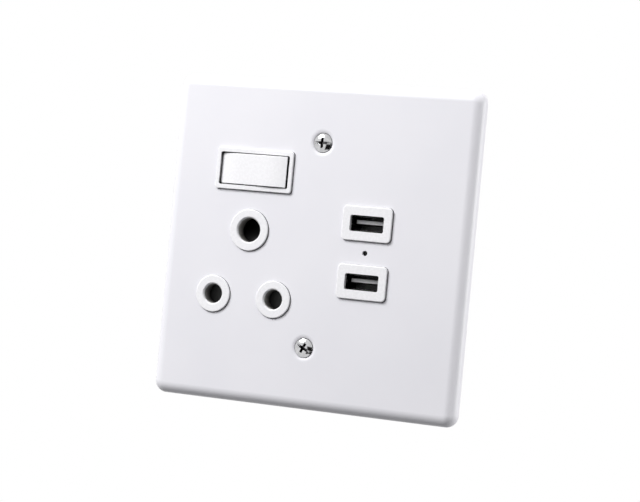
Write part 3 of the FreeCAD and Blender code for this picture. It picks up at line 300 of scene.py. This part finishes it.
def make_finishes():
    """Every finish of the part, by the name of its material slot."""
    brushed_x, turned_y = (0.04, 1, 1), (0.05, 1, 0.05)
    # The dark hollow tones given below are painted shade: they darken recesses, gaps, holes and the walls
    # beside raised rims, where light falls less
    made = [
        finish(
            "cover_paint", ((0.800, 0.794, 0.838), (0.822, 0.815, 0.856)), (0.36, 0.46), 0.16 * mm,
            0.0010 * mm, patch=35 * mm, peel=1.3 * mm, edge=(0.86, 0.855, 0.885), rim=0.12 * mm,
            hollow_shade=(0.05, 0.05, 0.055), reach=1.2 * mm, shade=(0.12, 0.40), coat_weight=0.12,
            coat_roughness=0.25,
        ),
        finish(
            "screw_chrome", ((0.52, 0.52, 0.53), (0.66, 0.66, 0.67)), (0.07, 0.16), 0.12 * mm, 0.0012 * mm,
            patch=2 * mm, edge=(0.78, 0.78, 0.79), rim=0.08 * mm, hollow_shade=(0.012, 0.012, 0.014),
            reach=1.6 * mm, shade=(0.45, 0.85), metallic=1.0,
        ),
        finish(
            "zinc_steel", ((0.52, 0.53, 0.53), (0.60, 0.58, 0.53)), (0.30, 0.48), 0.14 * mm, 0.004 * mm,
            patch=8 * mm, stretch=brushed_x, edge=(0.70, 0.70, 0.68), rim=0.2 * mm, metallic=0.95,
        ),
        finish(
            "white_plastic", ((0.862, 0.858, 0.882), (0.882, 0.878, 0.900)), (0.22, 0.32), 0.25 * mm,
            0.0004 * mm, patch=22 * mm, edge=(0.90, 0.90, 0.915), rim=0.15 * mm,
            hollow_shade=(0.010, 0.010, 0.011), reach=6.0 * mm, shade=(0.36, 0.60), coat_weight=0.25,
            coat_roughness=0.12,
        ),
        finish(
            "dark_plastic", ((0.026, 0.026, 0.028), (0.038, 0.038, 0.041)), (0.42, 0.60), 0.22 * mm,
            0.010 * mm, patch=12 * mm, edge=(0.085, 0.085, 0.09), rim=0.2 * mm,
            hollow_shade=(0.001, 0.001, 0.001), reach=9.0 * mm, shade=(0.60, 0.90),
        ),
        finish(
            "spring_steel", ((0.40, 0.40, 0.41), (0.50, 0.50, 0.50)), (0.20, 0.34), 0.06 * mm, 0.003 * mm,
            patch=2 * mm, metallic=1.0,
        ),
        finish(
            "brass", ((0.62, 0.44, 0.17), (0.74, 0.56, 0.26)), (0.16, 0.32), 0.10 * mm, 0.004 * mm,
            patch=6 * mm, stretch=turned_y, edge=(0.86, 0.70, 0.38), hollow_shade=(0.22, 0.13, 0.05), metallic=1.0,
        ),
        finish(
            "silver_alloy", ((0.66, 0.65, 0.62), (0.80, 0.79, 0.77)), (0.25, 0.42), 0.10 * mm, 0.005 * mm,
            patch=0.8 * mm, edge=(0.88, 0.88, 0.86), metallic=1.0,
        ),
        finish(
            "fibre", ((0.26, 0.075, 0.045), (0.36, 0.12, 0.07)), (0.55, 0.75), 0.20 * mm, 0.02 * mm,
            patch=1.2 * mm, stretch=(1, 5, 1), edge=(0.48, 0.22, 0.15),
        ),
        # The nylon's darkening along y is painted shade that grows deeper into the pin holes
        finish(
            "white_nylon", ((0.70, 0.69, 0.66), (0.78, 0.77, 0.74)), (0.35, 0.50), 0.25 * mm, 0.006 * mm,
            patch=9 * mm, edge=(0.84, 0.83, 0.80), hollow_shade=(0.006, 0.006, 0.006), reach=7.0 * mm,
            shade=(0.02, 0.28), depth_shade=(-6 * mm, 0.5 * mm, 0.30, 0.97),
        ),
        finish(
            "bronze", ((0.50, 0.27, 0.13), (0.64, 0.40, 0.22)), (0.22, 0.38), 0.10 * mm, 0.003 * mm,
            patch=4 * mm, stretch=brushed_x, edge=(0.78, 0.55, 0.34), metallic=1.0,
        ),
        finish(
            "shell_steel", ((0.50, 0.50, 0.51), (0.60, 0.60, 0.60)), (0.18, 0.30), 0.10 * mm, 0.002 * mm,
            patch=3 * mm, stretch=(1, 0.05, 1), edge=(0.60, 0.60, 0.60), rim=0.08 * mm,
            hollow_shade=(0.001, 0.001, 0.001), reach=7.0 * mm, shade=(0.62, 0.88), metallic=1.0,
        ),
        finish(
            "tongue_plastic", ((0.80, 0.80, 0.81), (0.86, 0.86, 0.87)), (0.35, 0.48), 0.15 * mm, 0.003 * mm,
            patch=4 * mm, edge=(0.90, 0.90, 0.90), rim=0.1 * mm, hollow_shade=(0.02, 0.02, 0.02),
            reach=7.0 * mm, shade=(0.05, 0.60),
        ),
        finish(
            "gilt_contact", ((0.80, 0.56, 0.20), (0.90, 0.68, 0.30)), (0.16, 0.26), 0.08 * mm, 0.001 * mm,
            patch=1 * mm, stretch=(1, 0.08, 1), hollow_shade=(0.004, 0.003, 0.002), reach=7.0 * mm,
            shade=(0.55, 0.90), metallic=1.0,
        ),
        board_finish(),
        finish(
            "ferrite", ((0.035, 0.033, 0.034), (0.060, 0.056, 0.055)), (0.60, 0.80), 0.18 * mm, 0.03 * mm,
            patch=2 * mm, edge=(0.15, 0.145, 0.14),
        ),
        finish(
            "winding_tape", ((0.62, 0.43, 0.03), (0.74, 0.55, 0.07)), (0.15, 0.30), 0.5 * mm, 0.012 * mm,
            patch=3 * mm, stretch=(0.1, 1, 0.1), coat_weight=0.5, coat_roughness=0.1,
        ),
        finish(
            "capacitor_sleeve", ((0.010, 0.014, 0.045), (0.016, 0.022, 0.070)), (0.18, 0.30), 0.4 * mm,
            0.004 * mm, patch=3 * mm, edge=(0.05, 0.06, 0.12), coat_weight=0.4, coat_roughness=0.15,
        ),
        finish(
            "lamp_lens", ((0.62, 0.70, 0.80), (0.70, 0.78, 0.86)), (0.08, 0.16), 0.3 * mm, 0.001 * mm,
            patch=2 * mm, transmission_weight=0.6, ior=1.5,
        ),
        # The light guide's near-black tone is painted shade that keeps the small light hole dark
        finish(
            "clear_plastic", ((0.010, 0.010, 0.012), (0.018, 0.018, 0.020)), (0.20, 0.30), 0.2 * mm,
            0.001 * mm, patch=2 * mm, edge=(0.03, 0.03, 0.034), transmission_weight=0.3, ior=1.45,
        ),
    ]
    return {material.name.removeprefix("finish_"): material for material in made}


def solids_of(name):
    """The lowest and highest corner of each separate solid of a CAD node, from left to right."""
    mesh = bmesh.new()
    mesh.from_mesh(frame["nodes"][name].data)
    bmesh.ops.remove_doubles(mesh, verts=mesh.verts, dist=1e-6)
    boxes, left = [], set(mesh.verts)
    while left:
        island, reached = set(), [left.pop()]
        while reached:
            vertex = reached.pop()
            island.add(vertex)
            near = {edge.other_vert(vertex) for edge in vertex.link_edges} & left
            left -= near
            reached.extend(near)
        low = Vector(min(v.co[i] for v in island) for i in range(3))
        high = Vector(max(v.co[i] for v in island) for i in range(3))
        boxes.append((low, high))
    mesh.free()
    return sorted(boxes, key=lambda box: (box[0].x, box[0].z))


def add_lathed(mesh, outline, sides=48):
    """Adds a closed form turned about the z axis, from (radius, height) points that end on it."""
    rings = []
    for radius, height in outline:
        count = sides if radius > 0 else 1
        angles = [2 * math.pi * i / sides for i in range(count)]
        rings.append([mesh.verts.new((radius * math.cos(a), radius * math.sin(a), height)) for a in angles])
    for low, high in zip(rings, rings[1:]):
        for i in range(sides):
            j = i + 1
            corners = [low[i % len(low)], low[j % len(low)], high[j % len(high)], high[i % len(high)]]
            mesh.faces.new(list(dict.fromkeys(corners)))


def add_thread(mesh, radius, depth, pitch, start, end, sides=24):
    """Adds the winding ridge of a thread that fades out at both ends."""
    steps = round((end - start) / pitch * sides)
    fade = sides / thread_fade
    sections = []
    for i in range(steps + 1):
        angle, middle = 2 * math.pi * i / sides, start + pitch * i / sides
        reach = depth * min(1, i / fade, (steps - i) / fade)
        section = [
            (radius * thread_sink, middle - pitch * thread_foot),
            (radius + reach, middle - pitch * thread_crest),
            (radius + reach, middle + pitch * thread_crest),
            (radius * thread_sink, middle + pitch * thread_foot),
        ]
        sections.append([mesh.verts.new((r * math.cos(angle), r * math.sin(angle), z)) for r, z in section])
    for near, far in zip(sections, sections[1:]):
        for k in range(4):
            mesh.faces.new((near[k], far[k], far[(k + 1) % 4], near[(k + 1) % 4]))
    mesh.faces.new(sections[0])
    mesh.faces.new(reversed(sections[-1]))


def add_prism(mesh, lower, upper):
    """Adds a closed form between two outlines with as many points, the lower first."""
    below = [mesh.verts.new(point) for point in lower]
    above = [mesh.verts.new(point) for point in upper]
    mesh.faces.new(reversed(below))
    mesh.faces.new(above)
    for i in range(len(below)):
        j = (i + 1) % len(below)
        mesh.faces.new((below[i], below[j], above[j], above[i]))


def cross_outline(reach, half, height):
    """The outline of a cross with four equal arms, at one height."""
    corner = [(reach, -half), (reach, half), (half, half)]
    points = []
    for quarter in range(4):
        turn = Matrix.Rotation(quarter * math.pi / 2, 2)
        points += [(*(turn @ Vector(point)), height) for point in corner]
    return points


def box_outline(half_x, half_y, height):
    """The outline of a rectangle about the z axis, at one height."""
    corners = [(-half_x, -half_y), (half_x, -half_y), (half_x, half_y), (-half_x, half_y)]
    return [(x, y, height) for x, y in corners]


def new_piece(name, mesh):
    """A scene object from a mesh under construction."""
    bmesh.ops.recalc_face_normals(mesh, faces=mesh.faces)
    data = bpy.data.meshes.new(name)
    mesh.to_mesh(data)
    mesh.free()
    piece = bpy.data.objects.new(name, data)
    bpy.context.scene.collection.objects.link(piece)
    return piece


def cut_away(piece, tools):
    """Cuts the closed forms out of the piece for good."""
    for tool in tools:
        modifier = piece.modifiers.new("cut", "BOOLEAN")
        modifier.object, modifier.operation, modifier.solver = tool, "DIFFERENCE", "EXACT"
    bpy.context.view_layer.update()
    data = bpy.data.meshes.new_from_object(piece.evaluated_get(bpy.context.evaluated_depsgraph_get()))
    piece.modifiers.clear()
    piece.data = data
    for tool in tools:
        bpy.data.objects.remove(tool)


def recess_tools(crown, cross=None, slot=None):
    """Forms to cut a tapered cross, given as (reach, half, depth), and a slot (reach, half, depth)."""
    tools = []
    if cross:
        reach, half, depth = cross
        mesh = bmesh.new()
        floor = cross_outline(reach * cross_floor, half * cross_thin, crown - depth)
        mouth = cross_outline(reach * cross_mouth, half * cross_mouth, crown + depth * cross_past)
        add_prism(mesh, floor, mouth)
        tools.append(new_piece("cross_tool", mesh))
    if slot:
        reach, half, depth = slot
        mesh = bmesh.new()
        add_prism(mesh, box_outline(reach, half, crown - depth), box_outline(reach, half, crown + depth))
        tools.append(new_piece("slot_tool", mesh))
    return tools


def dress(piece, slot):
    """Gives a new piece its finish and smooth shading, with edges past an angle kept sharp."""
    piece.data.materials.clear()
    piece.data.materials.append(finishes[slot])
    piece.data.shade_smooth()
    piece.data.set_sharp_from_angle(angle=smooth_angle)
    return piece


def facing(low, high, front):
    """Puts a form made about +z, with its head at height 0, where a screw's head faces along y."""
    middle = (low + high) / 2
    turn = Matrix.Rotation(math.radians(90 if front else -90), 4, "X")
    return Matrix.Translation((middle.x, low.y if front else high.y, middle.z)) @ turn


def soften(piece):
    """Rounds a screw's sharp edges a little."""
    modifier = piece.modifiers.new("soft_edges", "BEVEL")
    modifier.width, modifier.segments = edge_bevel, 1
    modifier.limit_method, modifier.angle_limit = "ANGLE", edge_angle


def thread_piece(piece, *thread):
    """Adds a thread to a piece's mesh."""
    mesh = bmesh.new()
    mesh.from_mesh(piece.data)
    add_thread(mesh, *thread)
    mesh.to_mesh(piece.data)
    mesh.free()


def cover_screw(name, low, high, turn):
    """A raised countersunk screw with a slot across its head, a cross and a rolled thread."""
    head, length = (high.x - low.x) / 2, high.y - low.y
    core = cover_shank - cover_thread_depth
    crown = []
    for i in range(dome_steps + 1):
        share = i / dome_steps
        drop = dome_spread * share**2 + (1 - dome_spread) * share**4
        crown.append((head * share, -cover_dome * drop))
    rim_end = -cover_dome - cover_rim
    cone_end = rim_end - head + core
    mesh = bmesh.new()
    add_lathed(mesh, crown + [
        (head, rim_end), (cover_shank, rim_end - head + cover_shank), (core, cone_end),
        (core, -length + cover_point), (core - cover_point_step, -length), (0, -length),
    ], 64)
    piece = new_piece(name, mesh)
    half = cover_slot_width / 2
    cross = (cover_cross_reach, half, cover_cross_depth)
    cut_away(piece, recess_tools(0, cross, (head * slot_past, half, cover_slot_depth)))
    thread_piece(
        piece, core, cover_thread_depth, cover_thread_pitch, -length + cover_point_step, cone_end,
    )
    piece.matrix_world = facing(low, high, True) @ Matrix.Rotation(turn, 4, "Z")
    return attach(dress(piece, "screw_chrome"), "frame")


def rear_screw(name, low, high, head_height, core, thread_depth, recess, tip=0.0):
    """A screw that goes in from the rear: a pan head with a recess, a shank and a thread."""
    head, length = (high.x - low.x) / 2, high.y - low.y
    round_edge = head_height * head_round
    outline = [(0, 0)]
    for i in range(head_steps + 1):
        angle = math.pi / 2 * i / head_steps
        side, drop = round_edge * (1 - math.sin(angle)), round_edge * (1 - math.cos(angle))
        outline.append((head - side, -drop))
    outline += [
        (head, -head_height), (core, -head_height), (core, -length + 2 * tip + tip_rise),
        (tip + tip_blunt, -length), (0, -length),
    ]
    mesh = bmesh.new()
    add_lathed(mesh, outline, 40)
    piece = new_piece(name, mesh)
    cut_away(piece, recess_tools(0, *recess))
    start, end = -length + 2 * tip + thread_runout, -head_height - thread_runout
    thread_piece(piece, core, thread_depth, rear_thread_pitch, start, end, 20)
    piece.matrix_world = facing(low, high, False)
    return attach(dress(piece, "zinc_steel"), "frame")


def make_screws():
    """Stands every screw of the part where its plain CAD solid is."""
    made = []
    lower, upper = sorted(solids_of("cover_screws"), key=lambda box: box[0].z)
    made.append(cover_screw("cover_screw_upper", *upper, 0))
    made.append(cover_screw("cover_screw_lower", *lower, lower_screw_turn))
    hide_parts("cover_screws")
    for i, box in enumerate(solids_of("housing_screws")):
        made.append(rear_screw(
            f"housing_screw_{i + 1}", *box, small_head, small_core, small_thread_depth,
            (small_cross, None), small_tip,
        ))
        soften(made[-1])
    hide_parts("housing_screws")
    for i, box in enumerate(solids_of("terminal_screws")):
        made.append(rear_screw(
            f"terminal_screw_{i + 1}", *box, terminal_head, terminal_core, terminal_thread_depth,
            (None, terminal_slot),
        ))
    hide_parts("terminal_screws")


def paint_nodes():
    """Gives each CAD node the finish that its material slot names."""
    for piece in frame["nodes"].values():
        for slot in piece.material_slots:
            slot.material = finishes[slot.material.name]


def seen_directly(tree):
    """1 for rays from the camera and for those that glossy or clear surfaces pass on, else 0."""
    path = add(tree, "ShaderNodeLightPath")
    first = add(tree, "ShaderNodeMath", {
        0: path.outputs["Is Camera Ray"], 1: path.outputs["Is Glossy Ray"],
    }, operation="MAXIMUM")
    return add(tree, "ShaderNodeMath", {
        0: first.outputs[0], 1: path.outputs["Is Transmission Ray"],
    }, operation="MAXIMUM").outputs[0]


def make_world():
    """A white backdrop that lights the object softly, most from above and behind."""
    world = bpy.data.worlds.new("studio")
    bpy.context.scene.world = world
    world.use_nodes = True
    tree = world.node_tree
    tree.nodes.clear()
    direction = add(tree, "ShaderNodeTexCoord").outputs["Generated"]
    towards = add(tree, "ShaderNodeVectorMath", {0: direction, 1: dome_towards}, operation="DOT_PRODUCT")
    strength = remap(tree, towards.outputs["Value"], *dome_span, dome_low, dome_high)
    dome = add(tree, "ShaderNodeBackground", {"Color": white, "Strength": strength})
    backdrop = add(tree, "ShaderNodeBackground", {"Color": white, "Strength": 1.0})
    both = add(tree, "ShaderNodeMixShader", {
        0: seen_directly(tree), 1: dome.outputs[0], 2: backdrop.outputs[0],
    })
    add(tree, "ShaderNodeOutputWorld", {"Surface": both.outputs[0]})


def make_floor():
    """A pale floor that keeps the object's shadow and fades into the backdrop further out."""
    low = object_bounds()[0].z - floor_drop
    mesh = bmesh.new()
    mesh.faces.new([mesh.verts.new(corner) for corner in box_outline(floor_half, floor_half, low)])
    floor = new_piece("floor", mesh)
    material = bpy.data.materials.new("floor_paper")
    material.use_nodes = True
    tree = material.node_tree
    tree.nodes.clear()
    place = add(tree, "ShaderNodeTexCoord").outputs["Object"]
    far = add(tree, "ShaderNodeVectorMath", {0: place}, operation="LENGTH").outputs["Value"]
    seen = seen_directly(tree)
    fade = remap(tree, far, 0.0, floor_pool, floor_glow, 1.0)
    share = add(tree, "ShaderNodeMath", {0: fade, 1: seen}, operation="MULTIPLY").outputs[0]
    tone = blended(tree, seen, floor_dim, floor_pale)
    paper = add(tree, "ShaderNodeBsdfDiffuse", {"Color": tone})
    glow = add(tree, "ShaderNodeEmission", {"Color": white, "Strength": 1.0})
    both = add(tree, "ShaderNodeMixShader", {0: share, 1: paper.outputs[0], 2: glow.outputs[0]})
    add(tree, "ShaderNodeOutputMaterial", {"Surface": both.outputs[0]})
    floor.data.materials.append(material)


def make_card():
    """A black card low in front that the screws and shells mirror, and that the camera sees through."""
    mesh = bmesh.new()
    mesh.faces.new([mesh.verts.new(corner) for corner in box_outline(card_half, card_half, 0)])
    card = new_piece("card", mesh)
    card.location = card_place
    card.rotation_euler = (-card_place).to_track_quat("Z", "Y").to_euler()
    material = bpy.data.materials.new("card_paper")
    material.use_nodes = True
    tree = material.node_tree
    tree.nodes.clear()
    paper = add(tree, "ShaderNodeBsdfDiffuse", {"Color": card_black})
    clear = add(tree, "ShaderNodeBsdfTransparent")
    path = add(tree, "ShaderNodeLightPath")
    both = add(tree, "ShaderNodeMixShader", {
        0: path.outputs["Is Camera Ray"], 1: paper.outputs[0], 2: clear.outputs[0],
    })
    add(tree, "ShaderNodeOutputMaterial", {"Surface": both.outputs[0]})
    card.data.materials.append(material)


def make_lamp(name, place, size, power):
    """A square soft box that looks at the plate's centre."""
    light = bpy.data.lights.new(name, "AREA")
    light.shape, light.size, light.energy = "SQUARE", size, power
    lamp = bpy.data.objects.new(name, light)
    lamp.location = place
    lamp.rotation_euler = (-place).to_track_quat("-Z", "Y").to_euler()
    bpy.context.scene.collection.objects.link(lamp)


def make_camera():
    """The camera, stepped back from the plate's face after turning round it and rolling."""
    data = bpy.data.cameras.new("camera")
    data.lens, data.sensor_width = view_lens, view_sensor
    camera = bpy.data.objects.new("camera", data)
    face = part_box("cover_plate")[0].y
    camera.matrix_world = (
        Matrix.Translation((0, face, 0))
        @ Matrix.Rotation(math.radians(90), 4, "X")
        @ Matrix.Rotation(view_turn, 4, "Y")
        @ Matrix.Rotation(view_roll, 4, "Z")
        @ Matrix.Translation((-view_aside, -view_above, view_distance))
    )
    bpy.context.scene.collection.objects.link(camera)
    bpy.context.scene.camera = camera


for thing in list(bpy.data.objects):
    bpy.data.objects.remove(thing)
bpy.context.scene.view_settings.view_transform = "Standard"
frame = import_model()
finishes = make_finishes()
paint_nodes()
make_screws()
make_world()
make_floor()
make_card()
make_lamp("key", key_place, key_size, key_power)
make_lamp("rim", rim_place, rim_size, rim_power)
make_camera()
